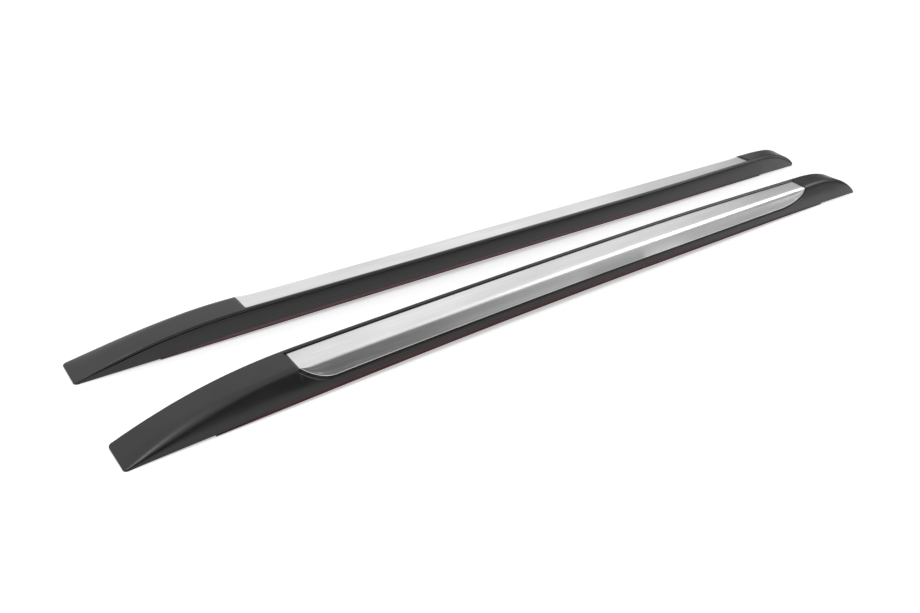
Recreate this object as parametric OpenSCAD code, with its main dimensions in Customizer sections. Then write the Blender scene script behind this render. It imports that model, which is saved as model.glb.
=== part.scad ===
// Pair of low stick-on side rails for a vehicle roof.
//
// Each rail is one hollow plastic moulding with a long front nose and a short rear
// nose. A folded metal trim strip is bonded into a pocket in its top and outer side.
// Dull red foam strips with release liners run in a recess under its edges. The two
// rails are mirror images and lie side by side, as they were put down.
//
// Every form is drawn along x from the front tip, u across (outer side positive) and
// z up from the seat line, and is then bent by the rail's two gentle curves.

/* [Rail] */
// Length of each rail, tip to tip
rail_length = 1700; // [1400:10:2000]
// Width of the base at mid-length
base_w = 63; // [54:0.5:70]
// Width of the base near the front tip
front_w = 60; // [50:0.5:66]
// Width of the base near the rear tip
rear_w = 50; // [40:0.5:56]
// Height of the inner lip
lip_h = 50.8; // [46:0.2:58]
// How far the lip stands out over the inner wall
lip_over = 5; // [3:0.1:6]
// Width of the lip on top
lip_w = 6.6; // [5:0.1:8]
// Fall of the top face from the lip to the crease
crease_fall = 1.6; // [1:0.1:5]
// Place of the crease, outward from the middle of the base
crease_u = 10.8; // [8:0.5:15]
// Radius of the crease on the black noses
crease_r = 9.5; // [5:0.5:11]
// Height of the tips
tip_h = 3; // [3:0.1:6]
// Rise of the top edge at mid-length
top_arch = 3.2; // [0:0.2:8]
// Rise of the seat line at mid-length
seat_arch = 10.6; // [8:0.1:12]
// Sideways bend at mid-length, toward the inner side
side_bend = 8; // [0:0.2:12]

/* [Noses] */
// Length over which the front nose rises
front_rise_l = 300; // [240:5:340]
// Length over which the rear nose falls
rear_fall_l = 170; // [120:5:190]
// Extra height of the crease on the rear nose
rear_dome = 3; // [0:0.5:5]
// Length over which the top face of the front nose narrows
front_flare_l = 375; // [320:5:480]
// Length over which the rear end narrows
rear_narrow_l = 610; // [400:10:700]
// Radius of the front tip's corners, seen from above
tip_r = 6; // [3:0.5:9]
// Radius of the rear tip's corners, seen from above
rear_tip_r = 3; // [2:0.5:9]

/* [Trim strip] */
// Length of the trim strip that lies on the front nose
trim_on_nose_l = 30; // [10:1:45]
// Length of full section between the trim strip and the rear nose
trim_rear_l = 18; // [14:1:60]
// Thickness of the sheet
sheet_t = 0.8; // [0.5:0.1:1]
// Depth of the strip's surface below the black top face
trim_drop = 2.6; // [1.6:0.1:3.2]
// Depth of the strip's surface below the black outer side
side_drop = 1.4; // [1:0.1:2]
// Height of the strip's lower edge
trim_low = 20.4; // [17:0.2:26]
// Radius of the strip's fold
fold_r = 8; // [3:0.5:10]
// Gap between the strip and the pocket's wall
trim_gap = 0.8; // [0.5:0.1:1.2]
// Width of the bevel round the pocket's ends and along its lower edge
rim_bevel = 4; // [2:0.5:6]
// Length of the sweep of the strip's front lower corner
front_sweep = 56; // [40:2:80]
// Length of the sweep of the strip's rear lower corner
rear_sweep = 95; // [60:5:120]

/* [Moulding inside] */
// Wall thickness
wall = 2.6; // [2:0.1:3.2]
// Width of the foot that carries the edge tapes
land_w = 12; // [10:0.5:13]
// Thickness of the foot
land_t = 3; // [2.4:0.1:4]
// Cross ribs between the two end ribs
rib_count = 11; // [8:1:14]
// Thickness of a rib
rib_t = 2.2; // [1.8:0.1:3]
// Height of the ribs' lower edges above the recess for the edge tapes
rib_lift = 5; // [4:0.5:10]

/* [Tapes and liners] */
// Height of the foam strips where they are full
tape_t = 7.4; // [5:0.2:9]
// How far the foam strips stand out below the seat line
tape_proud = 1; // [0.8:0.1:1.8]
// Height of the foam strips above the seat line at their ends
tape_end_h = 0.8; // [0.4:0.1:2]
// Width of the edge tapes
tape_w = 10; // [8:0.5:10]
// Thickness of the bonding tape behind the trim strip
bond_t = 0.5; // [0.3:0.1:0.8]
// Thickness of the release liners
liner_t = 0.3; // [0.2:0.05:0.3]
// How far a liner stands out beyond its tape
liner_lip = 1.6; // [1:0.1:2]
// Distance of the tapes' ends from the tips
tape_end = 128; // [116:2:150]
// Distance of the tapes from the outline of the base
tape_inset = 1; // [0.4:0.1:2]

/* [Pair] */
// Distance between the middles of the two rails
pair_gap = 193; // [190:1:400]
// Lengthwise shift of the right rail
pair_shift = 4; // [0:1:40]
// Turn of each rail toward the other at the rear, in degrees
toe = 0.74; // [0:0.02:1]

/* [Hidden] */

L = rail_length;
trim_start = front_rise_l - trim_on_nose_l;
trim_end = L - rear_fall_l - trim_rear_l;
// Ends of the pocket that takes the trim strip
pocket_x0 = trim_start - trim_gap;
pocket_x1 = trim_end + trim_gap;
// Height at which the lip and groove have their full section
detail_h = 25;
// Depth of the groove under the lip, its height and the lip's own thickness
groove_d = 0.9;
groove_h = 2.4;
lip_t = 4.2;
// Share of the lip's reach by which the inner wall leans out under it
wall_lean = 0.2;
// Fall of the lip's top toward the crease, and the tilt of the groove's two faces
lip_fall = 0.2;
groove_tilt_low = 0.6;
groove_tilt_high = 0.1;
// Rounding of the lip: insets of its lower corner and of its upper edge
lip_low_in = 0.5;
lip_high_in = 0.35;
lip_top_in = 1.5;
// Fullness of the front nose's rise and of the crease's swing
rise_power = 2.3;
flare_power = 1.8;
// Fullness of the rear nose's fall and its bluntness at the tip
fall_power = 2.6;
fall_end = 0.83;
// Length of the rear nose over which the crease swings out, and the fullness of the swing
rear_swing_l = 106;
swing_power = 1.15;
// Share of the rear narrowing's length after which the width stays
narrow_share = 0.89;
// Distance of the crease from the outline where it ends in a tip
crease_tip_in = 1.4;
// Share of the outer side's height and width at its lower break
break_h = 0.433;
break_u = 0.76;
// Bevel of the moulding's lower outer edge
foot_bevel = 0.8;
// Clearance of a cut beyond the face that it opens
cut_over = 6;
// Length over which the moulding thickens to carry the pocket
pocket_lead = 30;
// Distances from the strip's ends over which the section changes most
flare_lead = 150;
narrow_lead = 400;
// Stations between which the foam strips have their full height
front_full = trim_start - pocket_lead;
rear_full = trim_end - narrow_lead;
// Length of solid moulding at the front and rear tips
solid_front = 26;
solid_rear = 16;
// Width of the cross tapes and of the end ribs' feet under them
cross_w = 12;
// Gap of the bonding tapes from the strip's edges and fold
bond_inset = 2;
// Margin kept between a cross tape and the edge tapes beside it
cross_gap = 0.6;
// Height of the recess that takes the foam strips, and the gap at its ends
recess = tape_t - tape_proud;
recess_gap = 0.4;
// Length beyond the foam strips over which the foot falls to the seat line
foot_ramp = 20;

// Colours of the foam strips and of the liners
foam = [0.4, 0.2, 0.2];
film = [0.6, 0.12, 0.12];

function clamp01(t) = max(0, min(1, t));
function ease(t) = let (c = clamp01(t)) c * c * (3 - 2 * c);
function mix(a, b, t) = a + (b - a) * t;

// 0 at the tips and 1 at mid-length
function swell(x) = 4 * (x / L) * (1 - x / L);

// Rise of the front nose and fall of the rear nose, each from 0 to 1
function front_rise(x) = 1 - pow(1 - clamp01(x / front_rise_l), rise_power);
function rear_part(x) = clamp01((x - (L - rear_fall_l)) / rear_fall_l);
function rear_fall(x) = pow(1 - pow(rear_part(x), fall_power), fall_end);
function height(x, full) = tip_h + (full - tip_h) * front_rise(x) * rear_fall(x);

// Inset of the outline at a tip rounded by r, d from the tip
function corner_in(d, r) = d >= r ? 0 : r - sqrt(r * r - (r - d) * (r - d));

// Half of the base's width
function half_w(x) =
    (front_w + (base_w - front_w) * ease(x / front_rise_l)
     + (rear_w - base_w) * ease((x - (L - rear_narrow_l)) / (rear_narrow_l * narrow_share))) / 2
    - corner_in(x, tip_r) - corner_in(L - x, rear_tip_r);

// Place of the crease across the rail: it swings out to the outline at both tips
function crease_at(x) =
    let (edge = half_w(x) - crease_tip_in,
         front = pow(1 - clamp01(x / front_flare_l), flare_power),
         rear = pow(clamp01((x - (L - rear_swing_l)) / rear_swing_l), swing_power))
    mix(mix(crease_u, edge, front), edge, rear);

function detail(x) = min(1, height(x, lip_h) / detail_h);
function over_at(x) = lip_over * height(x, lip_h) / lip_h;
function lip_top(x) =
    [-half_w(x) - over_at(x) + lip_w * detail(x), height(x, lip_h) - lip_fall * detail(x)];
// Height of the rear nose's dome: 0 at both ends of the fall, and full between them
function dome(x) = let (s = pow(rear_part(x), 2)) 4 * rear_dome * s * (1 - s);
function crease_pt(x) = [crease_at(x), height(x, lip_h - crease_fall) + dome(x)];
function break_pt(x) =
    let (c = crease_pt(x)) [mix(c[0], half_w(x), break_u), c[1] * break_h];

function unit(v) = v / norm(v);
// Points of a curve that rounds the corner c between the points a and b
function rounded(a, c, b, r, n) =
    let (ra = min(r, 0.45 * norm(a - c)), rb = min(r, 0.45 * norm(b - c)),
         p = c + unit(a - c) * ra, q = c + unit(b - c) * rb)
    [for (i = [0:n]) let (t = i / n) (1 - t) * (1 - t) * p + 2 * t * (1 - t) * c + t * t * q];

// Outline of the black moulding's outside, from the inner foot over the top to the
// outer foot
function skin(x) =
    let (w = half_w(x), h = height(x, lip_h), k = detail(x), o = over_at(x),
         under = h - (lip_t + groove_h) * k, face = -w - wall_lean * o,
         a = lip_top(x), c = crease_pt(x), b = break_pt(x))
    concat([[-w, 0],
            [face, under - groove_tilt_low * k],
            [face + groove_d * k, under],
            [face + groove_d * k, h - (lip_t + groove_tilt_high) * k],
            [-w - o + lip_low_in * k, h - lip_t * k],
            [-w - o, h - 0.55 * lip_t * k],
            [-w - o + lip_high_in * k, h - 0.2 * lip_t * k],
            [-w - o + lip_top_in * k, h],
            a],
           rounded(a, c, b, crease_r, 6),
           [b,
            [w, foot_bevel * min(1, k * 2)],
            [w - foot_bevel * min(1, k * 2), 0]]);

// Left-hand normal of v, outward for a line that runs over the rail toward +u
function normal(v) = let (d = unit(v)) [-d[1], d[0]];
// The corner of the sides na and nb moved in from c, by ea and eb
function moved_corner(c, na, nb, ea, eb) =
    let (det = na[0] * nb[1] - na[1] * nb[0])
    c - [ea * nb[1] - eb * na[1], eb * na[0] - ea * nb[0]] / det;
// Crease corner, moved in by ea below the top face and by eb behind the outer side
function deep_crease(x, ea, eb) =
    let (c = crease_pt(x))
    moved_corner(c, normal(c - lip_top(x)), normal(break_pt(x) - c), ea, eb);

// Inner edge and lower edge of the trim strip's outer surface
function strip_in(x) = [lip_top(x)[0] + trim_gap, lip_top(x)[1] - trim_drop];
function strip_low(x) =
    let (c = crease_pt(x), d = unit(break_pt(x) - c))
    c + d * ((c[1] - trim_low) / -d[1]) - side_drop * normal(d);

// Share of the strip's outer side that is there at x, with its corners swept
function front_share(x, x0) = let (t = clamp01((x - x0) / front_sweep)) 1 - (1 - t) * (1 - t);
function rear_share(x, x1) = let (t = clamp01((x1 - x) / rear_sweep)) sqrt(1 - (1 - t) * (1 - t));
function side_share(x, x0, x1) = max(0.02, min(front_share(x, x0), rear_share(x, x1)));

// Line of the strip's surface at x, moved in by d and stretched by the given lengths at
// its top edge and at its lower edge
function strip_line(x, x0, x1, d, e_top, e_low) =
    let (a = strip_in(x), b = strip_low(x), c = deep_crease(x, trim_drop, side_drop),
         na = normal(c - a), nb = normal(b - c),
         fold = moved_corner(c, na, nb, d, d),
         top = a - e_top * unit(c - a) - na * d,
         low = mix(c, b, side_share(x, x0, x1)) + e_low * unit(b - c) - nb * d)
    concat([top, mix(top, fold, 0.5)], rounded(top, fold, low, max(1, fold_r - d), 4),
           [low]);

function backward(line) = [for (i = [len(line) - 1:-1:0]) line[i]];
// Closed section between two such lines
function strip_section(x, x0, x1, d0, d1, e) =
    concat(strip_line(x, x0, x1, d0, e, e), backward(strip_line(x, x0, x1, d1, e, e)));

// Stretch of the section space along the rail's curves
function bent(x, p) =
    let (s = swell(x), up = mix(seat_arch, top_arch, clamp01(p[1] / lip_h)))
    [x, -(p[0] - side_bend * s), p[1] + up * s];

// Stations along the rail, closer together where a form turns
function steps(a, b, n) = [for (i = [0:n - 1]) mix(a, b, i / n)];
function sorted(v) = len(v) < 2 ? v :
    let (m = v[floor(len(v) / 2)])
    concat(sorted([for (a = v) if (a < m) a]), [m], sorted([for (a = v) if (a > m) a]));
tip_shares = [0, 0.15, 0.5, 1, 2, 3.3];
nose_shares = [0.1, 0.17, 0.24];
rear_shares = [0.08, 0.12, 0.17, 0.23, 0.3, 0.39, 0.5];
rear_tip_shares = [0, 0.15, 0.5, 1, 2.2];
body_x = sorted(concat(
    [for (t = tip_shares) t * tip_r], [for (t = nose_shares) t * front_rise_l],
    steps(tape_end - foot_ramp, tape_end, 2),
    steps(tape_end, front_full, 4), [front_full, pocket_x0],
    steps(trim_start + pocket_lead, trim_start + flare_lead, 3),
    steps(trim_start + flare_lead, rear_full, 6),
    steps(rear_full, pocket_x1, 5), [pocket_x1, trim_end + pocket_lead],
    [L - tape_end, L - tape_end + foot_ramp],
    [for (t = rear_shares) L - t * rear_fall_l],
    [for (t = rear_tip_shares) L - t * rear_tip_r]));
function strip_x(x0, x1) = concat(
    [for (t = [0, 0.08, 0.2, 0.36, 0.56, 0.78]) x0 + t * front_sweep],
    steps(x0 + front_sweep, x0 + flare_lead, 3),
    steps(x0 + flare_lead, x1 - rear_sweep, 9),
    [for (t = [1, 0.75, 0.5, 0.3, 0.15, 0.05]) x1 - t * rear_sweep], [x1]);

// Solid through the rings of points, each at its station of xs. The quads' diagonals are
// mirrored between a ring's two halves, so that faces that lie on each other match.
module loft(xs, rings) {
    n = len(rings[0]);
    m = len(xs);
    polyhedron(
        points = [for (i = [0:m - 1]) for (p = rings[i]) bent(xs[i], p)],
        faces = concat(
            [[for (j = [0:n - 1]) j]],
            [[for (j = [n - 1:-1:0]) (m - 1) * n + j]],
            [for (i = [0:m - 2]) for (j = [0:n - 1])
                let (k = (j + 1) % n, a = i * n, b = a + n)
                for (face = j < n / 2 ? [[a + j, b + j, b + k], [a + j, b + k, a + k]]
                                      : [[a + j, b + j, a + k], [b + j, b + k, a + k]])
                    face]),
        convexity = 8);
}

// Share of the pocket's depth by which the moulding is thicker at x
function thicker(x) = ease((x - (trim_start - pocket_lead)) / pocket_lead)
                      * ease((trim_end + pocket_lead - x) / pocket_lead);

// Height of the recess for the foam strips: full between its two tapered ends
front_taper = front_full - tape_end;
rear_taper = L - tape_end - rear_full;
function recess_at(x) =
    mix(tape_end_h, recess,
        clamp01(min((x - tape_end) / front_taper, (L - tape_end - x) / rear_taper)));

// Height of the cavity's floor at x: the foot's own thickness, and the recess below it
function foot_top(x, z) =
    let (rise = clamp01(min(x - tape_end + foot_ramp, L - tape_end + foot_ramp - x) / foot_ramp))
    min(land_t, 0.3 * z) + rise * recess_at(x);

// Place of the outer side at height z below its lower break
function outer_side(x, z) =
    let (b = break_pt(x)) mix(half_w(x), b[0], (z - foot_bevel) / (b[1] - foot_bevel));

// Outline of the cavity, open below
function hollow(x) =
    let (w = half_w(x), k = detail(x), b = break_pt(x), nb = normal(b - crease_pt(x)),
         top_d = wall + thicker(x) * (trim_drop + sheet_t + bond_t),
         side_d = wall + thicker(x) * (side_drop + sheet_t + bond_t),
         z = lip_top(x)[1] - top_d, in = -w + wall, t = foot_top(x, z),
         roof = [in + 3.5 * k, z],
         side = b - side_d * nb - [0, 2 * thicker(x)])
    concat([[-w + land_w, -cut_over],
            [-w + land_w, t],
            [in, t + 0.6],
            [in, z - 4 * k],
            roof],
           rounded(roof, deep_crease(x, top_d, side_d), side, crease_r - 1, 3),
           [side,
            [min(w, outer_side(x, t + 0.6)) - wall, t + 0.6],
            [w - land_w, t],
            [w - land_w, -cut_over]]);
hollow_x = [for (x = body_x) if (x > solid_front && x < L - solid_rear) x];

// Cutter of the recess that takes the foam strips
module recess_cut() {
    x0 = tape_end - recess_gap;
    xs = concat([x0], [for (x = body_x) if (x > x0 && x < L - x0) x], [L - x0]);
    loft(xs, [for (x = xs)
        let (w = half_w(x) + cut_over)
        [[-w, -cut_over], [-w, recess_at(x)], [w, recess_at(x)], [w, -cut_over]]]);
}

// Cutter of the pocket that takes the trim strip and its bonding tapes
module pocket() {
    xs = strip_x(pocket_x0, pocket_x1);
    loft(xs, [for (x = xs)
        strip_section(x, pocket_x0, pocket_x1, -cut_over, sheet_t + bond_t, trim_gap)]);
}

// Cutter of the bevel round the pocket, down to the strip's surface
module rim() {
    x0 = pocket_x0 - rim_bevel;
    x1 = pocket_x1 + rim_bevel;
    xs = concat([x0, mix(x0, pocket_x0, 0.5)], strip_x(pocket_x0, pocket_x1),
                [mix(pocket_x1, x1, 0.5), x1]);
    loft(xs, [for (x = xs)
        let (depth = clamp01(min(x - x0, x1 - x) / rim_bevel),
             air = strip_line(x, x0, x1, -cut_over, trim_gap, trim_gap + rim_bevel),
             edge = strip_line(x, x0, x1, -side_drop, trim_gap, trim_gap + rim_bevel),
             floor = strip_line(x, pocket_x0, pocket_x1, -trim_drop * (1 - depth),
                                trim_gap, trim_gap))
        concat(air, [edge[len(edge) - 1]], backward(floor))]);
}

// Cross rib at x with its lower edge at z, sunk into the walls by half their thickness
function rib_outline(x, z) =
    let (h = hollow(x), n = len(h), mid = [0, 0.5 * h[4][1]], w = half_w(x) - 0.5 * land_w)
    concat([[-w, z]],
           [for (i = [2:n - 3])
               let (q = h[i] + unit(h[i] - mid) * 0.5 * wall) [q[0], max(q[1], z)]],
           [[w, z]]);
module plate(x, t, outline) {
    hull()
        loft([x - t / 2, x + t / 2], [outline, outline]);
}
// Foot over a cross tape, level with the recess at both of its faces
module cross_foot(x) {
    w = half_w(x) - 0.5 * land_w;
    ends = [x - cross_w / 2, x + cross_w / 2];
    hull()
        loft(ends, [for (q = ends)
            let (z = recess_at(q), top = z + land_t) [[-w, z], [-w, top], [w, top], [w, z]]]);
}
rib_x0 = tape_end + cross_w / 2;
rib_x1 = L - tape_end - cross_w / 2;
module ribs() {
    for (i = [1:rib_count])
        let (x = mix(rib_x0, rib_x1, i / (rib_count + 1)))
            plate(x, rib_t, rib_outline(x, recess_at(x) + rib_lift));
    for (x = [rib_x0, rib_x1]) {
        plate(x, rib_t, rib_outline(x, recess_at(x) + 0.5 * land_t));
        cross_foot(x);
    }
}

module rail_cover() {
    color([0.19, 0.19, 0.2]) {
        difference() {
            loft(body_x, [for (x = body_x) skin(x)]);
            loft(hollow_x, [for (x = hollow_x) hollow(x)]);
            pocket();
            rim();
            recess_cut();
        }
        ribs();
    }
}

module trim_strip() {
    xs = strip_x(trim_start, trim_end);
    color([0.78, 0.79, 0.8])
        loft(xs, [for (x = xs) strip_section(x, trim_start, trim_end, 0, sheet_t, 0)]);
}

// Bonding tape behind the strip, between the points a and b of the strip's line
module bond_tape(xs, a, b) {
    color([0.86, 0.86, 0.84])
        loft(xs, [for (x = xs)
            let (near = strip_line(x, trim_start, trim_end, sheet_t, -bond_inset, -bond_inset),
                 far = strip_line(x, trim_start, trim_end, sheet_t + bond_t,
                                  -bond_inset, -bond_inset))
            [near[a], near[b], far[b], far[a]]]);
}
module trim_top_tape() {
    x0 = trim_start + bond_inset;
    x1 = trim_end - bond_inset;
    bond_tape(concat([x0], [for (x = strip_x(trim_start, trim_end)) if (x > x0 && x < x1) x],
                     [x1]), 0, 2);
}
module trim_side_tape() {
    bond_tape([for (x = strip_x(trim_start, trim_end))
               if (x >= trim_start + front_sweep && x <= trim_end - rear_sweep) x], 6, 7);
}

// Strip under one side of the rail, from a to b in from the outline, from the recess or
// the tapes' undersides down to z
module under_strip(xs, side, a, b, in_recess, z) {
    loft(xs, [for (x = xs)
        let (w = half_w(x), u0 = side * (w - a), u1 = side * (w - b),
             lo = min(u0, u1), hi = max(u0, u1), top = in_recess ? recess_at(x) : -tape_proud)
        [[lo, z], [lo, top], [hi, top], [hi, z]]]);
}
edge_x = concat([tape_end], [for (x = body_x) if (x > tape_end && x < L - tape_end) x],
                [L - tape_end]);
module edge_tape(side) {
    color(foam)
        under_strip(edge_x, side, tape_inset, tape_inset + tape_w, true, -tape_proud);
}
module edge_liner(side) {
    color(film)
        under_strip(edge_x, side, tape_inset - liner_lip, tape_inset + tape_w, false,
                    -tape_proud - liner_t);
}

// Cross tape or its liner, between the two edge tapes
module cross_strip(x, in_recess, z, shade) {
    w = min(half_w(x - cross_w / 2), half_w(x + cross_w / 2)) - tape_inset - tape_w - cross_gap;
    xs = [x - cross_w / 2, x + cross_w / 2];
    color(shade)
        loft(xs, [for (q = xs)
            let (top = in_recess ? recess_at(q) : -tape_proud) [[-w, z], [-w, top], [w, top], [w, z]]]);
}

module inner_edge_tape() { edge_tape(-1); }
module outer_edge_tape() { edge_tape(1); }
module inner_liner() { edge_liner(-1); }
module outer_liner() { edge_liner(1); }
module front_cross_tape() { cross_strip(rib_x0, true, -tape_proud, foam); }
module rear_cross_tape() { cross_strip(rib_x1, true, -tape_proud, foam); }
module front_cross_liner() { cross_strip(rib_x0, false, -tape_proud - liner_t, film); }
module rear_cross_liner() { cross_strip(rib_x1, false, -tape_proud - liner_t, film); }

// One rail's place in the pair: the left rail's outer side faces -Y
module in_pair(side) {
    if (side == "left")
        translate([-pair_shift / 2, -pair_gap / 2, 0]) rotate([0, 0, toe])
            translate([-L / 2, 0, 0]) children();
    else
        translate([pair_shift / 2, pair_gap / 2, 0]) rotate([0, 0, -toe])
            mirror([0, 1, 0]) translate([-L / 2, 0, 0]) children();
}

in_pair("left") rail_cover();  // left_rail_cover
in_pair("left") trim_strip();  // left_trim_strip
in_pair("left") trim_top_tape();  // left_trim_top_tape
in_pair("left") trim_side_tape();  // left_trim_side_tape
in_pair("left") inner_edge_tape();  // left_inner_edge_tape
in_pair("left") outer_edge_tape();  // left_outer_edge_tape
in_pair("left") front_cross_tape();  // left_front_cross_tape
in_pair("left") rear_cross_tape();  // left_rear_cross_tape
in_pair("left") inner_liner();  // left_inner_liner
in_pair("left") outer_liner();  // left_outer_liner
in_pair("left") front_cross_liner();  // left_front_cross_liner
in_pair("left") rear_cross_liner();  // left_rear_cross_liner
in_pair("right") rail_cover();  // right_rail_cover
in_pair("right") trim_strip();  // right_trim_strip
in_pair("right") trim_top_tape();  // right_trim_top_tape
in_pair("right") trim_side_tape();  // right_trim_side_tape
in_pair("right") inner_edge_tape();  // right_inner_edge_tape
in_pair("right") outer_edge_tape();  // right_outer_edge_tape
in_pair("right") front_cross_tape();  // right_front_cross_tape
in_pair("right") rear_cross_tape();  // right_rear_cross_tape
in_pair("right") inner_liner();  // right_inner_liner
in_pair("right") outer_liner();  // right_outer_liner
in_pair("right") front_cross_liner();  // right_front_cross_liner
in_pair("right") rear_cross_liner();  // right_rear_cross_liner
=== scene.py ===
"""Looks of a pair of stick-on roof side rails: grained plastic covers, brushed trim strips
and dull red foam under their edges, on a white studio floor.

Lengths of the rails are in millimetres, as in the part's source: x from the front tip, u
across (outer side positive), z up from the seat line. They turn to metres when a mesh is
made. Materials, lights, camera and floor are in metres.
"""

import math

import bmesh
import bpy
import numpy as np
from mathutils import Matrix, Vector


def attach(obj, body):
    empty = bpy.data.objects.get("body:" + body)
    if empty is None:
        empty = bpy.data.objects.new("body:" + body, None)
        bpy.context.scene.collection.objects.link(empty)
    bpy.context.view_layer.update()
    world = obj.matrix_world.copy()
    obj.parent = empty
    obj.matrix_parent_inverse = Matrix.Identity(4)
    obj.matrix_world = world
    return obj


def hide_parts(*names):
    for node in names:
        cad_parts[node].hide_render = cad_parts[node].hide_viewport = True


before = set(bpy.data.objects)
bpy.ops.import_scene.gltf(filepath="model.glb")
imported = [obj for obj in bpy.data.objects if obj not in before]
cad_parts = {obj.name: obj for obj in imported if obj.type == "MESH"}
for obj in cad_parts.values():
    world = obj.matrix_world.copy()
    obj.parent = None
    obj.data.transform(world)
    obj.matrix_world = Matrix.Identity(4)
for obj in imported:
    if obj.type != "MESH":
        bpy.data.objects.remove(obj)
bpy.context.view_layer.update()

MM = 0.001

# Rail
LENGTH = 1700
BASE_W = 63
FRONT_W = 60
REAR_W = 50
LIP_H = 50.8
LIP_OVER = 5
LIP_W = 6.6
LIP_FALL = 0.2
WALL_LEAN = 0.2
CREASE_FALL = 1.6
CREASE_U = 10.8
CREASE_TIP_IN = 1.4
TIP_H = 3
TOP_ARCH = 3.2
SEAT_ARCH = 10.6
SIDE_BEND = 8
FOOT_BEVEL = 0.8
# Height of the rail from which the lip and groove have their full size
DETAIL_H = 25
# Place of the outer side's break, as shares of the crease's height and the base's width
BREAK_H = 0.433
BREAK_U = 0.76

# Lip, groove and crown, with the places on the lip's face as shares of its thickness
LIP_T = 4.2
LIP_LOW_IN = 0.5
LIP_MID_AT = 0.55
LIP_HIGH_AT = 0.22
LIP_HIGH_IN = 0.35
LIP_TOP_IN = 1.9
GROOVE_H = 3.2
GROOVE_D = 2
GROOVE_TILT_LOW = 0.6
GROOVE_TILT_HIGH = 0.1
CROWN_W = 2.6
CROWN_D = 0.95
CROWN_START = 0.6

# Rounding of the section's corners, softer at the crease of the front nose
FOOT_R = 0.4
GROOVE_R = 0.2
LIP_LOW_R = 0.7
LIP_MID_R = 1.2
LIP_TOP_R = 0.6
CROWN_R = 0.5
CREASE_R = 9.5
BREAK_R = 9
BEVEL_R = 0.9
NOSE_SOFT_R = 20
NOSE_SOFT_L = 230
# Largest share of a corner's leg that its rounding takes: usual, soft crease, soft break
LEG_SHARE = 0.45
SOFT_CREASE_SHARE = 0.8
SOFT_BREAK_SHARE = 0.15

# Noses
FRONT_RISE_L = 300
REAR_FALL_L = 170
REAR_DOME = 3
FALL_POWER = 2.6
FALL_END = 0.83
FRONT_FLARE_L = 375
REAR_NARROW_L = 610
NARROW_SHARE = 0.89
REAR_SWING_L = 106
SWING_POWER = 1.15
RISE_POWER = 2.3
FLARE_POWER = 1.8
TIP_R = 6
REAR_TIP_R = 3

# Trim strip and its pocket
TRIM_ON_NOSE_L = 30
TRIM_REAR_L = 18
TRIM_START = FRONT_RISE_L - TRIM_ON_NOSE_L
TRIM_END = LENGTH - REAR_FALL_L - TRIM_REAR_L
SHEET_T = 0.8
BOND_T = 0.5
TRIM_DROP = 2.6
SIDE_DROP = 1.4
TRIM_LOW = 20.4
TRIM_GAP = 0.8
FOLD_R = 8
FRONT_SWEEP = 56
REAR_SWEEP = 95
# Least share of the strip's side at its two ends
LEAST_SIDE = 0.02
POCKET_X0 = TRIM_START - TRIM_GAP
POCKET_X1 = TRIM_END + TRIM_GAP
POCKET_LEAD = 30
RIM_BEVEL = 4
RIM_X0 = POCKET_X0 - RIM_BEVEL
RIM_X1 = POCKET_X1 + RIM_BEVEL
RIM_POWER = 3.5
RIM_SHARES = (0, 0.05, 0.11, 0.18, 0.3, 0.5, 0.75)

# Rolled edge of the strip, and how far the sheet's back goes down with it
ROLL_L = 2.2
ROLL_D = 1.15
ROLL_SPARE = 0.05
ROLL_SHARES = (0, 0.03, 0.1, 0.25, 0.5, 0.8, 1)
BACK_DROP = ROLL_D - SHEET_T + ROLL_SPARE
FLAT_SHARES = (0.25, 0.5, 0.75)

# Hollow of the strip's side, and the width of the side from which it is full
SIDE_DISH = 0.5
DISH_SIDE = 30
DISH_SHARES = (0.12, 0.25, 0.4, 0.55, 0.7, 0.8)

# Line pressed into the strip's side. It shows where the side is wider than HEM_SIDE, and
# is full where the side is wider by HEM_LEAD again.
HEM_AT = 3.9
HEM_W = 1
HEM_D = 0.15
HEM_SIDE = 12
HEM_LEAD = 8

# Moulding inside
WALL = 2.6
LAND_W = 12
LAND_T = 3
# Largest share of the hollow's height that the edge's foot takes, and its slope
LAND_SHARE = 0.3
LAND_SLOPE = 0.6
# Inner upper corner of the hollow, and how far the pocket lowers its outer one
ROOF_IN = 3.5
ROOF_LOW = 4
POCKET_SINK = 2
RIB_COUNT = 11
RIB_T = 2.2
RIB_LIFT = 5
CROSS_W = 12
CUT_OVER = 6
SOLID_FRONT = 26
SOLID_REAR = 16
FOOT_RAMP = 20
RECESS = 6.4
RECESS_END_H = 0.8
RECESS_END = 127.6
TAPE_END = 128
FRONT_FULL = TRIM_START - POCKET_LEAD
NARROW_LEAD = 400
REAR_FULL = TRIM_END - NARROW_LEAD

# Stations of the meshes: where their spacing changes, the spacing, and shares at the ends
TIP_RUN = 60
STRIP_RUN = 400
NOSE_RUN = 420
REAR_RUN = 1400
TIP_STEP = 3
REAR_TIP_STEP = 2.5
REAR_SWEEP_STEP = 4
FINE_STEP = 6
RAMP_STEP = 10
LONG_STEP = 14
NOSE_STEP = 8
PLAIN_STEP = 20
TIP_SHARES = (0.004, 0.03, 0.1, 0.2, 0.33, 0.5, 0.7, 0.9)
CROWN_SHARES = (0, 0.5, 1)
EDGE_PLACES = (0, 0.06, 0.2, 0.5, 1, 1.6, ROLL_L)
SWEEP_SHARES = (0.03, 0.05, 0.08, 0.12, 0.17)
SWEEP_END = 0.2

# Pair
PAIR_GAP = 193
PAIR_SHIFT = 4
TOE = 0.74

# Sharpest angles that are still shaded smooth, in degrees
COVER_SMOOTH = 32
STRIP_SMOOTH = 40

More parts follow.
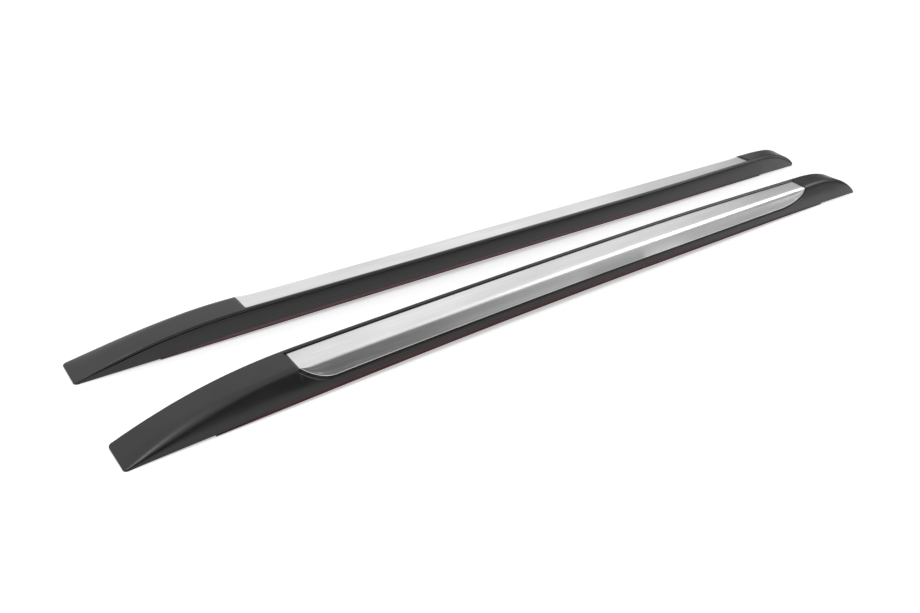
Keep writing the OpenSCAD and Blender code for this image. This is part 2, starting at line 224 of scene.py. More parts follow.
# Colours
PLASTIC_DARK = (0.017, 0.017, 0.0175)
PLASTIC_LIGHT = (0.023, 0.023, 0.0235)
# Painted red light that the foam throws on the plastic above it
PLASTIC_RED_BOUNCE = (0.026, 0.018, 0.018)
# Lighter pointy edges: partly wear, partly a painted sheen where the edges catch the light
PLASTIC_WORN_SHEEN = (0.075, 0.075, 0.078)
METAL_DARK = (0.66, 0.66, 0.66)
METAL_LIGHT = (0.82, 0.82, 0.82)
METAL_STREAK = (0.60, 0.60, 0.60)
# Painted shade and painted sheen for two patches on a strip's side
METAL_PAINTED_SHADE = (0.50, 0.50, 0.50)
METAL_PAINTED_SHEEN = (0.95, 0.95, 0.95)
RED_FOAM = ((0.080, 0.043, 0.046), (0.108, 0.058, 0.062))
# A lighter copy of the red foam, painted light for the brighter light on the rails' inner sides
PAINTED_LIT_FOAM = ((0.20, 0.125, 0.130), (0.26, 0.160, 0.168))
FILM_DARK = (0.13, 0.050, 0.055)
FILM_LIGHT = (0.17, 0.066, 0.072)
TAPE_DARK = (0.55, 0.55, 0.53)
TAPE_LIGHT = (0.68, 0.68, 0.66)
CARD_BLACK = (0.02, 0.02, 0.02, 1)
FLOOR_GREY = (0.8, 0.8, 0.8, 1)
WHITE = (1, 1, 1, 1)

# Dull red tint of the plastic over the foam, a painted reflection of the foam's red light:
# heights, and where it starts and ends along x
BOUNCE_RISE = (0.008, 0.024)
BOUNCE_START = (-0.62, -0.45)
BOUNCE_END = (0.2, 0.5)

# Patches of painted shade and painted sheen on the side of the left rail's strip, one darker
# and one lighter: start and end along x, and length of the fade at the end. They fade in over
# the two lengths below: from the first ahead of the start to the second beyond it.
SHADE_PATCH = (0.01, 0.15, 0.012)
SHEEN_PATCH = (0.17, 0.29, 0.06)
PATCH_BEFORE = 0.04
PATCH_PAST = 0.01
PATCH_SHARE = 0.8
PATCH_TOP = (0.042, 0.048)
PATCH_OUTER = (-0.11, -0.10)

# Camera
CAMERA_AT = (-1.07234, -1.06214, 0.83825)
CAMERA_YAW = 51.237
CAMERA_PITCH = 32.269
CAMERA_ROLL = 4.415
FOCAL_PX = 907.34
FRAME_PX = 920
SENSOR = 36
SHIFT = (0.0081, -0.0017)

# Studio
FLOOR_SIZE = 40
WORLD_LIGHT = 0.62
FLOOR_GLOW = 0.50
# Points of the line on which the studio cards stand, and the cards' heights
CARDS_START = (-2.8, -1.7)
CARDS_CORNER = (3.3, -1.7)
CARDS_STEP = (3.3, 1.8)
CARDS_END = (3.3, 2.8)
FRONT_CARD_H = 2.1
FAR_CARD_H = 1.8


def clamp01(t):
    return max(0.0, min(1.0, t))


def ease(t):
    c = clamp01(t)
    return c * c * (3 - 2 * c)


def mix(a, b, t):
    return a + (b - a) * t


def pt(u, z):
    return np.array((u, z), float)


def unit(v):
    return v / math.hypot(v[0], v[1])


def normal(v):
    """Left-hand normal, outward for a line that runs over the rail toward +u."""
    d = unit(v)
    return pt(-d[1], d[0])


# The rail's section at a station, as in the part's source


def rear_part(x):
    return clamp01((x - (LENGTH - REAR_FALL_L)) / REAR_FALL_L)


def height(x, full):
    rise = 1 - (1 - clamp01(x / FRONT_RISE_L)) ** RISE_POWER
    fall = (1 - rear_part(x) ** FALL_POWER) ** FALL_END
    return TIP_H + (full - TIP_H) * rise * fall


def corner_in(d, r):
    if d >= r:
        return 0
    return r - math.sqrt(max(0, r**2 - (r - d) ** 2))


def half_w(x):
    front = (BASE_W - FRONT_W) * ease(x / FRONT_RISE_L)
    narrowing = (x - (LENGTH - REAR_NARROW_L)) / (REAR_NARROW_L * NARROW_SHARE)
    rear = (REAR_W - BASE_W) * ease(narrowing)
    corners = corner_in(x, TIP_R) + corner_in(LENGTH - x, REAR_TIP_R)
    return (FRONT_W + front + rear) / 2 - corners


def crease_at(x):
    edge = half_w(x) - CREASE_TIP_IN
    front = (1 - clamp01(x / FRONT_FLARE_L)) ** FLARE_POWER
    rear = clamp01((x - (LENGTH - REAR_SWING_L)) / REAR_SWING_L) ** SWING_POWER
    return mix(mix(CREASE_U, edge, front), edge, rear)


def detail(x):
    """Size of the lip and groove as a share of their full size."""
    return min(1, height(x, LIP_H) / DETAIL_H)


def over_at(x):
    return LIP_OVER * height(x, LIP_H) / LIP_H


def lip_top(x):
    k = detail(x)
    return pt(-half_w(x) - over_at(x) + LIP_W * k, height(x, LIP_H) - LIP_FALL * k)


def dome(x):
    s = rear_part(x) ** 2
    return 4 * REAR_DOME * s * (1 - s)


def crease_pt(x):
    return pt(crease_at(x), height(x, LIP_H - CREASE_FALL) + dome(x))


def break_pt(x):
    c = crease_pt(x)
    return pt(mix(c[0], half_w(x), BREAK_U), c[1] * BREAK_H)


def rounded(a, c, b, r, n, share=LEG_SHARE):
    """Points of a curve that rounds the corner c between a and b."""
    to_a = a - c
    to_b = b - c
    p = c + unit(to_a) * min(r, share * math.hypot(*to_a))
    q = c + unit(to_b) * min(r, share * math.hypot(*to_b))
    steps = [i / n for i in range(n + 1)]
    return [(1 - t) ** 2 * p + 2 * t * (1 - t) * c + t * t * q for t in steps]


def rounded_ring(corners):
    """Closed outline through (point, radius, steps, share of its legs if not the usual)."""
    ring = []
    for i, (c, r, n, *share) in enumerate(corners):
        a = corners[i - 1][0]
        b = corners[(i + 1) % len(corners)][0]
        ring += rounded(a, c, b, r, n, *share)
    return ring


def skin(x):
    """Outline of the moulding's outside, from the inner foot over the top."""
    w = half_w(x)
    h = height(x, LIP_H)
    k = detail(x)
    o = over_at(x)
    under = h - (LIP_T + GROOVE_H) * k
    face = -w - WALL_LEAN * o
    bevel = FOOT_BEVEL * min(1, k * 2)
    lip = -w - o
    crown = lip_top(x)
    along = ease((x - POCKET_X0) / CROWN_W) * ease((POCKET_X1 - x) / CROWN_W)
    soft = ease(1 - x / NOSE_SOFT_L)
    crease_r = CREASE_R + NOSE_SOFT_R * soft
    return rounded_ring([
        (pt(-w, 0), FOOT_R, 2),
        (pt(face, under - GROOVE_TILT_LOW * k), FOOT_R, 2),
        (pt(face + GROOVE_D * k, under), GROOVE_R, 1),
        (pt(face + GROOVE_D * k, h - (LIP_T + GROOVE_TILT_HIGH) * k), GROOVE_R, 1),
        (pt(lip + LIP_LOW_IN * k, h - LIP_T * k), LIP_LOW_R, 3),
        (pt(lip, h - LIP_MID_AT * LIP_T * k), LIP_MID_R, 3),
        (pt(lip + LIP_HIGH_IN * k, h - LIP_HIGH_AT * LIP_T * k), LIP_TOP_R, 3),
        (pt(lip + LIP_TOP_IN * k, h), LIP_TOP_R, 4),
        (crown - pt(CROWN_W * CROWN_START, 0), CROWN_R, 4),
        (crown - pt(0, CROWN_D * along), GROOVE_R, 1),
        (crease_pt(x), crease_r, 14, mix(LEG_SHARE, SOFT_CREASE_SHARE, soft)),
        (break_pt(x), BREAK_R, 6, mix(LEG_SHARE, SOFT_BREAK_SHARE, soft)),
        (pt(w, bevel), BEVEL_R, 3),
        (pt(w - bevel, 0), FOOT_R, 2),
    ])


def moved_corner(c, na, nb, ea, eb):
    """The corner c after its two lines go inward by ea and eb."""
    det = na[0] * nb[1] - na[1] * nb[0]
    return c - pt(ea * nb[1] - eb * na[1], eb * na[0] - ea * nb[0]) / det


def deep_crease(x, ea, eb):
    c = crease_pt(x)
    return moved_corner(c, normal(c - lip_top(x)), normal(break_pt(x) - c), ea, eb)


# The trim strip's section


def strip_in(x):
    a = lip_top(x)
    return pt(a[0] + TRIM_GAP, a[1] - TRIM_DROP)


def strip_low(x):
    c = crease_pt(x)
    d = unit(break_pt(x) - c)
    return c + d * ((c[1] - TRIM_LOW) / -d[1]) - SIDE_DROP * normal(d)


def side_share(x, x0, x1):
    """Share of the strip's outer side that is there at x, with its corners swept."""
    front = clamp01((x - x0) / FRONT_SWEEP)
    rear = clamp01((x1 - x) / REAR_SWEEP)
    return max(LEAST_SIDE, min(1 - (1 - front) ** 2, math.sqrt(1 - (1 - rear) ** 2)))


def strip_frame(x, x0, x1):
    """Top edge, fold and lower edge of the strip's surface, both faces' normals, and the
    way down its side."""
    a = strip_in(x)
    b = strip_low(x)
    c = deep_crease(x, TRIM_DROP, SIDE_DROP)
    low = mix(c, b, side_share(x, x0, x1))
    return a, c, low, normal(c - a), normal(b - c), unit(b - c)


def strip_line(x, x0, x1, depth, past_top, past_low):
    """The strip's line at a depth under its surface, reaching past its two edges."""
    a, c, b, na, nb, down = strip_frame(x, x0, x1)
    fold = moved_corner(c, na, nb, depth, depth)
    top = a - past_top * unit(c - a) - na * depth
    low = b + past_low * down - nb * depth
    bend = rounded(top, fold, low, max(1, FOLD_R - depth), 8)
    return [top, mix(top, fold, 0.5)] + bend + [low]


def roll(t):
    """Depth of a rolled edge at distance t from the edge."""
    s = 1 - clamp01(t / ROLL_L)
    return ROLL_D * (1 - math.sqrt(1 - s * s))


def rolled_edge(edge, inward, out, width, end):
    """Points of an edge that rolls down, from the edge inward."""
    return [edge + inward * s * width - out * max(roll(s * ROLL_L), end) for s in ROLL_SHARES]


def dished(start, stop, out, side):
    """Points of the strip's slightly hollow side between two of its points."""
    depth = SIDE_DISH * clamp01(side / DISH_SIDE)
    return [mix(start, stop, s) - out * depth * 4 * s * (1 - s) for s in DISH_SHARES]


def pressed_line(edge, down, out, side, end):
    """Points of the line pressed into the strip's side over its lower edge."""
    full = HEM_D * clamp01((side - HEM_SIDE) / HEM_LEAD)
    places = ((HEM_AT + HEM_W / 2, 0), (HEM_AT, full), (HEM_AT - HEM_W / 2, 0))
    return [edge - down * min(up, 0.5 * side) - out * (deep + end) for up, deep in places]


def strip_face(x):
    """Outer face of the strip, from its top edge to its lower edge."""
    a, c, b, na, nb, down = strip_frame(x, TRIM_START, TRIM_END)
    end = roll(min(x - TRIM_START, TRIM_END - x))
    side = math.hypot(*(b - c))
    low_width = min(ROLL_L, 0.5 * side)
    low_start = b - down * low_width - nb * end
    fold = moved_corner(c, na, nb, end, end)
    bend = rounded(a - na * end, fold, low_start, FOLD_R, 12)
    return [
        *rolled_edge(a, unit(c - a), na, ROLL_L, end),
        *[mix(a, c, s) - na * end for s in FLAT_SHARES],
        *bend,
        *dished(bend[-1], low_start, nb, side),
        *pressed_line(b, down, nb, side, end),
        *reversed(rolled_edge(b, -down, nb, low_width, end)),
    ]


def strip_ring(x):
    """Closed section of the trim strip."""
    _, _, _, na, nb, _ = strip_frame(x, TRIM_START, TRIM_END)
    back = strip_line(x, TRIM_START, TRIM_END, SHEET_T, 0, 0)
    back[0] = back[0] - na * BACK_DROP
    back[-1] = back[-1] - nb * BACK_DROP
    return strip_face(x) + back[::-1]


# Inside of the moulding


def thicker(x):
    """1 where the moulding is thicker to carry the pocket, 0 away from it."""
    lead_in = ease((x - (TRIM_START - POCKET_LEAD)) / POCKET_LEAD)
    lead_out = ease((TRIM_END + POCKET_LEAD - x) / POCKET_LEAD)
    return lead_in * lead_out


def recess_at(x):
    """Height of the recess for the foam strips, full between its two tapered ends."""
    front = (x - TAPE_END) / (FRONT_FULL - TAPE_END)
    rear = (LENGTH - TAPE_END - x) / (LENGTH - TAPE_END - REAR_FULL)
    return mix(RECESS_END_H, RECESS, clamp01(min(front, rear)))


def foot_top(x, z):
    near_end = min(x - TAPE_END, LENGTH - TAPE_END - x)
    rise = clamp01((near_end + FOOT_RAMP) / FOOT_RAMP)
    return min(LAND_T, LAND_SHARE * z) + rise * recess_at(x)


def outer_side(x, z):
    b = break_pt(x)
    return mix(half_w(x), b[0], (z - FOOT_BEVEL) / (b[1] - FOOT_BEVEL))


def hollow(x):
    """Outline of the cavity, open below."""
    w = half_w(x)
    k = detail(x)
    b = break_pt(x)
    nb = normal(b - crease_pt(x))
    top_d = WALL + thicker(x) * (TRIM_DROP + SHEET_T + BOND_T)
    side_d = WALL + thicker(x) * (SIDE_DROP + SHEET_T + BOND_T)
    z = lip_top(x)[1] - top_d
    inner = -w + WALL
    t = foot_top(x, z)
    roof = pt(inner + ROOF_IN * k, z)
    side = b - side_d * nb - pt(0, POCKET_SINK * thicker(x))
    outer = min(w, outer_side(x, t + LAND_SLOPE)) - WALL
    crease = rounded(roof, deep_crease(x, top_d, side_d), side, CREASE_R - 1, 3)
    return [
        pt(-w + LAND_W, -CUT_OVER),
        pt(-w + LAND_W, t),
        pt(inner, t + LAND_SLOPE),
        pt(inner, z - ROOF_LOW * k),
        roof,
        *crease,
        side,
        pt(outer, t + LAND_SLOPE),
        pt(w - LAND_W, t),
        pt(w - LAND_W, -CUT_OVER),
    ]


def rib_outline(x, z):
    """Outline of a rib over the height z, with its edge sunk into the wall."""
    h = hollow(x)
    mid = pt(0, 0.5 * h[4][1])
    w = half_w(x) - 0.5 * LAND_W
    sunk = [p + unit(p - mid) * 0.5 * WALL for p in h[2:-2]]
    return [pt(-w, z)] + [pt(p[0], max(p[1], z)) for p in sunk] + [pt(w, z)]


# Stations along the rail


def spread(a, b, step):
    n = max(1, round((b - a) / step))
    return [mix(a, b, i / n) for i in range(n)]


def stations(*runs):
    """Sorted stations of (from, to, step) runs, without repeats."""
    values = {round(x, 3) for a, b, step in runs for x in spread(a, b, step)}
    values.add(round(runs[-1][1], 3))
    return sorted(values)


def tip_stations(end, r):
    return [abs(end - t * r) for t in TIP_SHARES]


def body_stations():
    mid = stations((TIP_R, TIP_RUN, TIP_STEP), (TIP_RUN, NOSE_RUN, FINE_STEP),
                   (NOSE_RUN, REAR_RUN, LONG_STEP), (REAR_RUN, LENGTH - TIP_RUN, FINE_STEP),
                   (LENGTH - TIP_RUN, LENGTH - REAR_TIP_R, REAR_TIP_STEP))
    crown = [POCKET_X0 + t * CROWN_W for t in CROWN_SHARES]
    crown += [POCKET_X1 - t * CROWN_W for t in CROWN_SHARES]
    ends = tip_stations(0, TIP_R) + tip_stations(LENGTH, REAR_TIP_R)
    return sorted(ends + mid + crown)


def strip_stations(x0, x1):
    front = [x0 + t for t in EDGE_PLACES]
    rear = [x1 - t for t in EDGE_PLACES]
    sweep = [x1 - t * REAR_SWEEP for t in SWEEP_SHARES]
    mid = stations((x0 + TIP_STEP, x0 + FRONT_SWEEP, TIP_STEP),
                   (x0 + FRONT_SWEEP, STRIP_RUN, FINE_STEP), (STRIP_RUN, REAR_RUN, LONG_STEP),
                   (REAR_RUN, x1 - SWEEP_END * REAR_SWEEP, REAR_SWEEP_STEP))
    return sorted(front + mid + sweep + rear)


def hollow_stations():
    low = TRIM_START - POCKET_LEAD
    high = TRIM_END + POCKET_LEAD
    return stations((SOLID_FRONT, TAPE_END - FOOT_RAMP, NOSE_STEP),
                    (TAPE_END - FOOT_RAMP, TAPE_END, RAMP_STEP), (TAPE_END, low, LONG_STEP),
                    (low, TRIM_START, FINE_STEP), (TRIM_START, TRIM_END, PLAIN_STEP),
                    (TRIM_END, high, FINE_STEP), (high, LENGTH - TAPE_END, NOSE_STEP),
                    (LENGTH - TAPE_END, LENGTH - SOLID_REAR, FINE_STEP))


def recess_stations():
    return stations((RECESS_END, FRONT_FULL, LONG_STEP), (FRONT_FULL, REAR_FULL, LONG_STEP),
                    (REAR_FULL, LENGTH - RECESS_END, LONG_STEP))


# Meshes, in the rail's own frame


def add_object(name, data):
    obj = bpy.data.objects.new(name, data)
    bpy.context.scene.collection.objects.link(obj)
    return obj


def bent(x, p):
    """A point of a section, bent by the rail's two curves, in metres."""
    s = 4 * (x / LENGTH) * (1 - x / LENGTH)
    up = mix(SEAT_ARCH, TOP_ARCH, clamp01(p[1] / LIP_H))
    return (x * MM, -(p[0] - SIDE_BEND * s) * MM, (p[1] + up * s) * MM)


def loft(name, xs, outline):
    """Closed mesh through the outlines at the stations xs."""
    rings = [[bent(x, p) for p in outline(x)] for x in xs]
    n = len(rings[0])
    points = [p for ring in rings for p in ring]
    faces = [list(range(n)), [(len(xs) - 1) * n + j for j in reversed(range(n))]]
    for i in range(len(xs) - 1):
        a = i * n
        b = a + n
        for j in range(n):
            k = (j + 1) % n
            faces.append([a + j, b + j, b + k, a + k])
    mesh = bpy.data.meshes.new(name)
    mesh.from_pydata(points, [], faces)
    return mesh


def solid(name, mesh):
    """Object of a closed mesh, with its large faces cut up and its normals outward."""
    obj = add_object(name, mesh)
    form = bmesh.new()
    form.from_mesh(mesh)
    bmesh.ops.triangulate(form, faces=[f for f in form.faces if len(f.verts) > 4])
    bmesh.ops.recalc_face_normals(form, faces=form.faces)
    form.to_mesh(mesh)
    form.free()
    return obj


def taken_mesh(body):
    """The body's mesh, with the body itself taken away."""
    mesh = body.data
    bpy.data.objects.remove(body)
    return mesh


def pocket_cutter():
    def outline(x):
        air = strip_line(x, POCKET_X0, POCKET_X1, -CUT_OVER, TRIM_GAP, TRIM_GAP)
        floor = strip_line(x, POCKET_X0, POCKET_X1, SHEET_T + BOND_T, TRIM_GAP, TRIM_GAP)
        return air + floor[::-1]

    return loft("pocket", strip_stations(POCKET_X0, POCKET_X1), outline)


def rim_share(t):
    """Share of the depth at the share t of the rim's width: steep at its outer edge."""
    return 1 - (1 - t) ** RIM_POWER


def rim_outline(x):
    depth = rim_share(clamp01(min(x - RIM_X0, RIM_X1 - x) / RIM_BEVEL))
    air = strip_line(x, RIM_X0, RIM_X1, -CUT_OVER, TRIM_GAP, TRIM_GAP + RIM_BEVEL)
    slope = []
    for t in RIM_SHARES:
        out = SIDE_DROP * (1 - rim_share(t))
        reach = TRIM_GAP + RIM_BEVEL * (1 - t)
        slope.append(strip_line(x, RIM_X0, RIM_X1, -out, TRIM_GAP, reach)[-1])
    floor = strip_line(x, POCKET_X0, POCKET_X1, -TRIM_DROP * (1 - depth), TRIM_GAP, TRIM_GAP)
    return air + slope + floor[::-1]


def rim_cutter():
    ends = [RIM_X0 + t * RIM_BEVEL for t in RIM_SHARES]
    ends += [RIM_X1 - t * RIM_BEVEL for t in RIM_SHARES]
    return loft("rim", sorted(ends + strip_stations(POCKET_X0, POCKET_X1)), rim_outline)


def hollow_cutter():
    return loft("hollow", hollow_stations(), hollow)


def recess_cutter():
    def outline(x):
        w = half_w(x) + CUT_OVER
        top = recess_at(x)
        return [pt(-w, -CUT_OVER), pt(-w, top), pt(w, top), pt(w, -CUT_OVER)]

    return loft("recess", recess_stations(), outline)


def plate(x, t, outline):
    return loft("plate", [x - t / 2, x + t / 2], lambda _: outline)


def cross_foot(x):
    """Foot over a cross tape, level with the recess at both of its faces."""
    w = half_w(x) - 0.5 * LAND_W

    def outline(q):
        z = recess_at(q)
        return [pt(-w, z), pt(-w, z + LAND_T), pt(w, z + LAND_T), pt(w, z)]

    return loft("foot", [x - CROSS_W / 2, x + CROSS_W / 2], outline)


def rib_plates():
    first = TAPE_END + CROSS_W / 2
    last = LENGTH - first
    plates = []
    for i in range(1, RIB_COUNT + 1):
        x = mix(first, last, i / (RIB_COUNT + 1))
        plates.append(plate(x, RIB_T, rib_outline(x, recess_at(x) + RIB_LIFT)))
    for x in (first, last):
        plates.append(plate(x, RIB_T, rib_outline(x, recess_at(x) + 0.5 * LAND_T)))
        plates.append(cross_foot(x))
    return plates


def combine(body, meshes, operation):
    """Adds the meshes to the body or cuts them from it, and keeps the result as its mesh."""
    tools = [solid("tool", mesh) for mesh in meshes]
    for tool in tools:
        modifier = body.modifiers.new("cut", "BOOLEAN")
        modifier.operation = operation
        modifier.solver = "MANIFOLD"
        modifier.object = tool
    graph = bpy.context.evaluated_depsgraph_get()
    made = bpy.data.meshes.new_from_object(body.evaluated_get(graph))
    body.modifiers.clear()
    body.data = made
    for tool in tools:
        bpy.data.objects.remove(tool)


def cover_mesh():
    body = solid("cover", loft("cover", body_stations(), skin))
    cutters = [hollow_cutter(), pocket_cutter(), rim_cutter(), recess_cutter()]
    combine(body, cutters, "DIFFERENCE")
    combine(body, rib_plates(), "UNION")
    return taken_mesh(body)


def strip_mesh():
    body = solid("strip", loft("strip", strip_stations(TRIM_START, TRIM_END), strip_ring))
    return taken_mesh(body)


# The two rails


def place_of(side):
    """Matrix from the rail's own frame to its place in the pair."""
    back = Matrix.Translation((-LENGTH / 2 * MM, 0, 0))
    sign = -1 if side == "left" else 1
    turn = Matrix.Rotation(math.radians(-sign * TOE), 4, "Z")
    move = Matrix.Translation((sign * PAIR_SHIFT / 2 * MM, sign * PAIR_GAP / 2 * MM, 0))
    if side == "left":
        return move @ turn @ back
    return move @ turn @ Matrix.Scale(-1, 4, (0, 1, 0)) @ back


def piece(name, mesh, side, node, material, smooth):
    """A copy of the mesh on one side of the pair, which stands for a node of the part."""
    placed = mesh.copy()
    placed.transform(place_of(side))
    if side == "right":
        placed.flip_normals()
    placed.shade_smooth()
    placed.set_sharp_from_angle(angle=math.radians(smooth))
    placed.materials.clear()
    placed.materials.append(material)
    obj = add_object(name, placed)
    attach(obj, "root")
    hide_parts(node)


# Materials


def new_material(name):
    material = bpy.data.materials.new(name)
    material.use_nodes = True
    tree = material.node_tree
    return material, tree, tree.nodes["Principled BSDF"]


def add_node(tree, kind, **values):
    """A node with its inputs or its own settings given by name."""
    node = tree.nodes.new(kind)
    for key, value in values.items():
        if key in node.inputs:
            node.inputs[key].default_value = value
        else:
            setattr(node, key, value)
    return node


def own_place(tree):
    """Coordinates of the object in metres, as the outputs X, Y and Z."""
    place = add_node(tree, "ShaderNodeTexCoord")
    split = add_node(tree, "ShaderNodeSeparateXYZ")
    tree.links.new(place.outputs["Object"], split.inputs["Vector"])
    return split.outputs


def noise(tree, scale, levels):
    """Noise over the object's coordinates in metres, times a scale for each axis."""
    place = add_node(tree, "ShaderNodeTexCoord")
    mapping = add_node(tree, "ShaderNodeMapping", Scale=scale)
    tree.links.new(place.outputs["Object"], mapping.inputs["Vector"])
    node = add_node(tree, "ShaderNodeTexNoise", Scale=1.0, Detail=levels, Roughness=0.5)
    tree.links.new(mapping.outputs["Vector"], node.inputs["Vector"])
    return node.outputs["Fac"]


def ranged(tree, value, low, high, to_low=0, to_high=1):
    """The value's range low to high turned into to_low to to_high, and held beyond it."""
    node = add_node(tree, "ShaderNodeMapRange")
    node.inputs["From Min"].default_value = low
    node.inputs["From Max"].default_value = high
    node.inputs["To Min"].default_value = to_low
    node.inputs["To Max"].default_value = to_high
    tree.links.new(value, node.inputs["Value"])
    return node.outputs["Result"]


def blend_colour(tree, factor, first, second):
    """Mix of two colours, each a tuple or a socket."""
    node = add_node(tree, "ShaderNodeMix", data_type="RGBA")
    for socket, colour in ((node.inputs[6], first), (node.inputs[7], second)):
        if isinstance(colour, tuple):
            socket.default_value = (*colour, 1)
        else:
            tree.links.new(colour, socket)
    tree.links.new(factor, node.inputs["Factor"])
    return node.outputs[2]


def calculate(tree, operation, first, second):
    node = add_node(tree, "ShaderNodeMath", operation=operation)
    tree.links.new(first, node.inputs[0])
    tree.links.new(second, node.inputs[1])
    return node.outputs[0]


def product(tree, first, second):
    return calculate(tree, "MULTIPLY", first, second)


def bump(tree, value, strength, distance):
    node = add_node(tree, "ShaderNodeBump", Strength=strength, Distance=distance)
    tree.links.new(value, node.inputs["Height"])
    return node.outputs["Normal"]


def above_seat(tree):
    """Height over the arched seat line and place along x, both in metres."""
    place = own_place(tree)
    square = product(tree, place["X"], place["X"])
    half = LENGTH / 2 * MM
    seat = ranged(tree, square, 0, half * half, SEAT_ARCH * MM, 0)
    return calculate(tree, "SUBTRACT", place["Z"], seat), place["X"]


def plastic_material():
    material, tree, shader = new_material("grained_plastic")
    cloud = noise(tree, (9, 9, 9), 2)
    grain = noise(tree, (1100, 1100, 1100), 2)
    shade = ranged(tree, cloud, 0.35, 0.65)
    colour = blend_colour(tree, shade, PLASTIC_DARK, PLASTIC_LIGHT)
    # Painted red bounce light from the foam, low on the plastic and over part of its length
    rise, along = above_seat(tree)
    run = product(tree, ranged(tree, along, *BOUNCE_START), ranged(tree, along, *BOUNCE_END, 1, 0))
    low = product(tree, ranged(tree, rise, *BOUNCE_RISE, 1, 0), run)
    colour = blend_colour(tree, low, colour, PLASTIC_RED_BOUNCE)
    # Pointy edges lighter, partly wear and partly a painted sheen line on edges that catch the
    # light
    edges = add_node(tree, "ShaderNodeNewGeometry").outputs["Pointiness"]
    worn_sheen = ranged(tree, edges, 0.53, 0.62, 0, 0.35)
    colour = blend_colour(tree, worn_sheen, colour, PLASTIC_WORN_SHEEN)
    tree.links.new(colour, shader.inputs["Base Color"])
    shader.inputs["IOR"].default_value = 1.46
    tree.links.new(ranged(tree, cloud, 0.3, 0.7, 0.28, 0.36), shader.inputs["Roughness"])
    tree.links.new(bump(tree, grain, 0.25, 0.0001), shader.inputs["Normal"])
    return material


def side_patch(tree, start, end, fade):
    """Mask of a patch along x on the outer side of the left rail's strip, for painted shade and
    painted sheen.
    """
    place = own_place(tree)
    begun = ranged(tree, place["X"], start - PATCH_BEFORE, start + PATCH_PAST)
    along = product(tree, begun, ranged(tree, place["X"], end - fade, end, 1, 0))
    low = ranged(tree, place["Z"], *PATCH_TOP, 1, 0)
    outer = ranged(tree, place["Y"], *PATCH_OUTER, 1, 0)
    return product(tree, along, product(tree, low, outer))


def metal_material():
    material, tree, shader = new_material("brushed_metal")
    shader.inputs["Metallic"].default_value = 1.0
    cloud = noise(tree, (4, 22, 22), 3)
    streak = noise(tree, (7, 420, 420), 3)
    scratch = noise(tree, (16, 2600, 2600), 2)
    colour = blend_colour(tree, ranged(tree, cloud, 0.3, 0.7), METAL_DARK, METAL_LIGHT)
    streaks = ranged(tree, streak, 0.35, 0.7, 0, 0.35)
    colour = blend_colour(tree, streaks, colour, METAL_STREAK)
    # A darker patch of painted shade and a lighter one of painted sheen on the left strip's
    # side
    for patch, tone in ((SHADE_PATCH, METAL_PAINTED_SHADE), (SHEEN_PATCH, METAL_PAINTED_SHEEN)):
        part = ranged(tree, side_patch(tree, *patch), 0, 1, 0, PATCH_SHARE)
        colour = blend_colour(tree, part, colour, tone)
    tree.links.new(colour, shader.inputs["Base Color"])
    tree.links.new(ranged(tree, streak, 0.3, 0.7, 0.30, 0.38), shader.inputs["Roughness"])
    tree.links.new(bump(tree, scratch, 0.08, 0.00005), shader.inputs["Normal"])
    return material


def foam_material(name, dark, light):
    material, tree, shader = new_material(name)
    cells = noise(tree, (900, 900, 900), 3)
    cloud = noise(tree, (12, 12, 12), 2)
    colour = blend_colour(tree, ranged(tree, cloud, 0.3, 0.7), dark, light)
    tree.links.new(colour, shader.inputs["Base Color"])
    shader.inputs["Roughness"].default_value = 0.75
    tree.links.new(bump(tree, cells, 0.4, 0.0003), shader.inputs["Normal"])
    return material


def film_material():
    material, tree, shader = new_material("red_film")
    wave = noise(tree, (40, 300, 300), 2)
    colour = blend_colour(tree, ranged(tree, wave, 0.3, 0.7), FILM_DARK, FILM_LIGHT)
    tree.links.new(colour, shader.inputs["Base Color"])
    shader.inputs["Roughness"].default_value = 0.45
    tree.links.new(bump(tree, wave, 0.2, 0.0002), shader.inputs["Normal"])
    return material


def tape_material():
    material, tree, shader = new_material("pale_tape")
    fine = noise(tree, (700, 700, 700), 2)
    tree.links.new(blend_colour(tree, fine, TAPE_DARK, TAPE_LIGHT), shader.inputs["Base Color"])
    shader.inputs["Roughness"].default_value = 0.6
    tree.links.new(bump(tree, fine, 0.2, 0.0001), shader.inputs["Normal"])
    return material


def dress_node(name, material):
    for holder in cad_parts[name].material_slots:
        holder.material = material


# Studio


def add_camera():
    data = bpy.data.cameras.new("photo_view")
    data.sensor_width = SENSOR
    data.lens = FOCAL_PX * SENSOR / FRAME_PX
    data.shift_x, data.shift_y = SHIFT
    camera = add_object("photo_view", data)
    yaw = math.radians(CAMERA_YAW)
    pitch = math.radians(CAMERA_PITCH)
    roll_angle = math.radians(CAMERA_ROLL)
    ahead = Vector((math.cos(yaw) * math.cos(pitch), math.sin(yaw) * math.cos(pitch),
                    -math.sin(pitch)))
    level = Vector((math.sin(yaw), -math.cos(yaw), 0))
    above = level.cross(ahead)
    right = level * math.cos(roll_angle) + above * math.sin(roll_angle)
    up = above * math.cos(roll_angle) - level * math.sin(roll_angle)
    turn = Matrix((right, up, -ahead)).transposed().to_4x4()
    camera.matrix_world = Matrix.Translation(CAMERA_AT) @ turn
    bpy.context.scene.camera = camera


def seen_directly(tree):
    """1 for rays that show the background: camera, glossy and transmission rays."""
    path = add_node(tree, "ShaderNodeLightPath")
    total = path.outputs["Is Camera Ray"]
    for name in ("Is Glossy Ray", "Is Transmission Ray"):
        total = calculate(tree, "MAXIMUM", total, path.outputs[name])
    return total


def add_world():
    world = bpy.data.worlds.new("studio")
    bpy.context.scene.world = world
    world.use_nodes = True
    tree = world.node_tree
    background = tree.nodes["Background"]
    background.inputs["Color"].default_value = WHITE
    strength = ranged(tree, seen_directly(tree), 0, 1, WORLD_LIGHT, 1.0)
    tree.links.new(strength, background.inputs["Strength"])


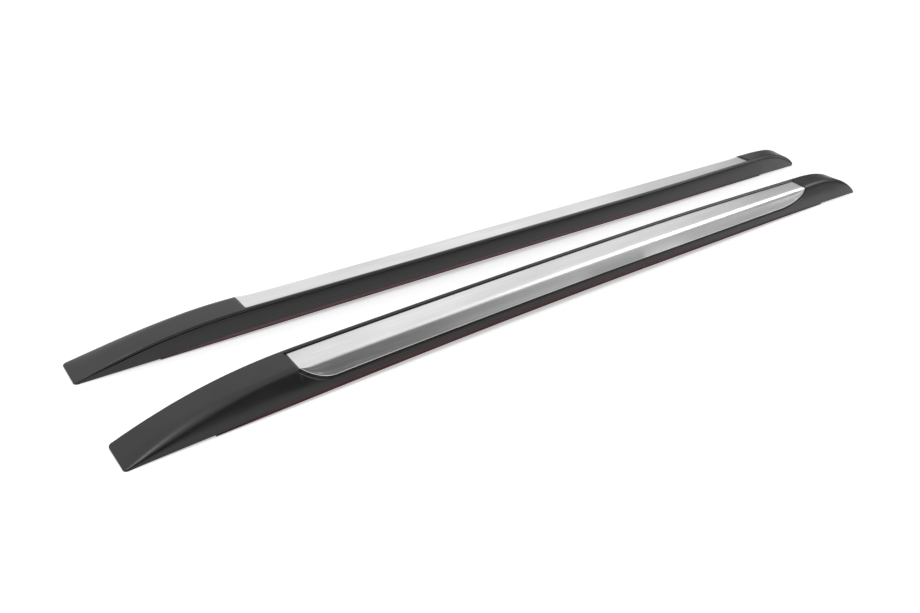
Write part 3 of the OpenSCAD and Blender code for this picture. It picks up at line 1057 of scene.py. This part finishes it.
def add_sheet(name, corners, material):
    mesh = bpy.data.meshes.new(name)
    mesh.from_pydata(corners, [], [(0, 1, 2, 3)])
    mesh.materials.append(material)
    return add_object(name, mesh)


def add_floor():
    material, tree, shader = new_material("floor")
    shader.inputs["Base Color"].default_value = FLOOR_GREY
    shader.inputs["Roughness"].default_value = 1.0
    shader.inputs["Specular IOR Level"].default_value = 0.0
    shader.inputs["Emission Color"].default_value = WHITE
    glow = ranged(tree, seen_directly(tree), 0, 1, 0, FLOOR_GLOW)
    tree.links.new(glow, shader.inputs["Emission Strength"])
    h = FLOOR_SIZE / 2
    floor = add_sheet("floor", [(-h, -h, 0), (h, -h, 0), (h, h, 0), (-h, h, 0)], material)


def add_area(name, at, target, size, power):
    data = bpy.data.lights.new(name, "AREA")
    data.shape = "RECTANGLE"
    data.size, data.size_y = size
    data.energy = power
    light = add_object(name, data)
    light.location = at
    aim = Vector(target) - Vector(at)
    light.rotation_mode = "QUATERNION"
    light.rotation_quaternion = aim.to_track_quat("-Z", "Y")


def upright(start, end, top):
    """Corners of a card that stands on the floor from start to end."""
    return [(*start, 0), (*end, 0), (*end, top), (*start, top)]


def add_card(name, corners, near_tone, far_tone, near_x=0, far_x=1):
    """A grey studio card that only reflections and light meet, graded along x."""
    material, tree, shader = new_material(name)
    shader.inputs["Base Color"].default_value = CARD_BLACK
    shader.inputs["Roughness"].default_value = 1.0
    shader.inputs["Emission Color"].default_value = WHITE
    tone = ranged(tree, own_place(tree)["X"], near_x, far_x, near_tone, far_tone)
    tree.links.new(tone, shader.inputs["Emission Strength"])
    card = add_sheet(name, corners, material)
    card.visible_camera = False


def add_studio():
    add_world()
    add_floor()
    add_area("far_softbox", at=(3.27, -0.4, 2.0), target=(3.27, -0.4, 0), size=(3.05, 1.4),
             power=50)
    add_area("near_softbox", at=(-1.45, -0.15, 2.0), target=(-0.8, -0.1, 0), size=(0.5, 0.5),
             power=12)
    add_card("front_card", upright(CARDS_START, CARDS_CORNER, FRONT_CARD_H),
             near_tone=0.02, far_tone=0.52, near_x=0.7, far_x=1.2)
    add_card("far_card", upright(CARDS_CORNER, CARDS_STEP, FAR_CARD_H),
             near_tone=0.12, far_tone=0.12)
    add_card("side_card", upright(CARDS_STEP, CARDS_END, FAR_CARD_H),
             near_tone=0.6, far_tone=0.6)


# The scene


def add_rails():
    plastic = plastic_material()
    metal = metal_material()
    outer_foam = foam_material("red_foam", *RED_FOAM)
    # The inner foam is the red foam in a lighter copy, painted light
    inner_foam = foam_material("painted_lit_foam", *PAINTED_LIT_FOAM)
    film = film_material()
    tape = tape_material()
    cover = cover_mesh()
    strip = strip_mesh()
    for side in ("left", "right"):
        piece(side + "_cover", cover, side, side + "_rail_cover", plastic,
              COVER_SMOOTH)
        piece(side + "_strip", strip, side, side + "_trim_strip", metal,
              STRIP_SMOOTH)
        for name in ("trim_top_tape", "trim_side_tape"):
            dress_node(side + "_" + name, tape)
        dress_node(side + "_outer_edge_tape", outer_foam)
        for name in ("inner_edge", "front_cross", "rear_cross"):
            dress_node(side + "_" + name + "_tape", inner_foam)
        for name in ("inner", "outer", "front_cross", "rear_cross"):
            dress_node(side + "_" + name + "_liner", film)


bpy.context.scene.view_settings.view_transform = "Standard"
add_camera()
add_rails()
add_studio()
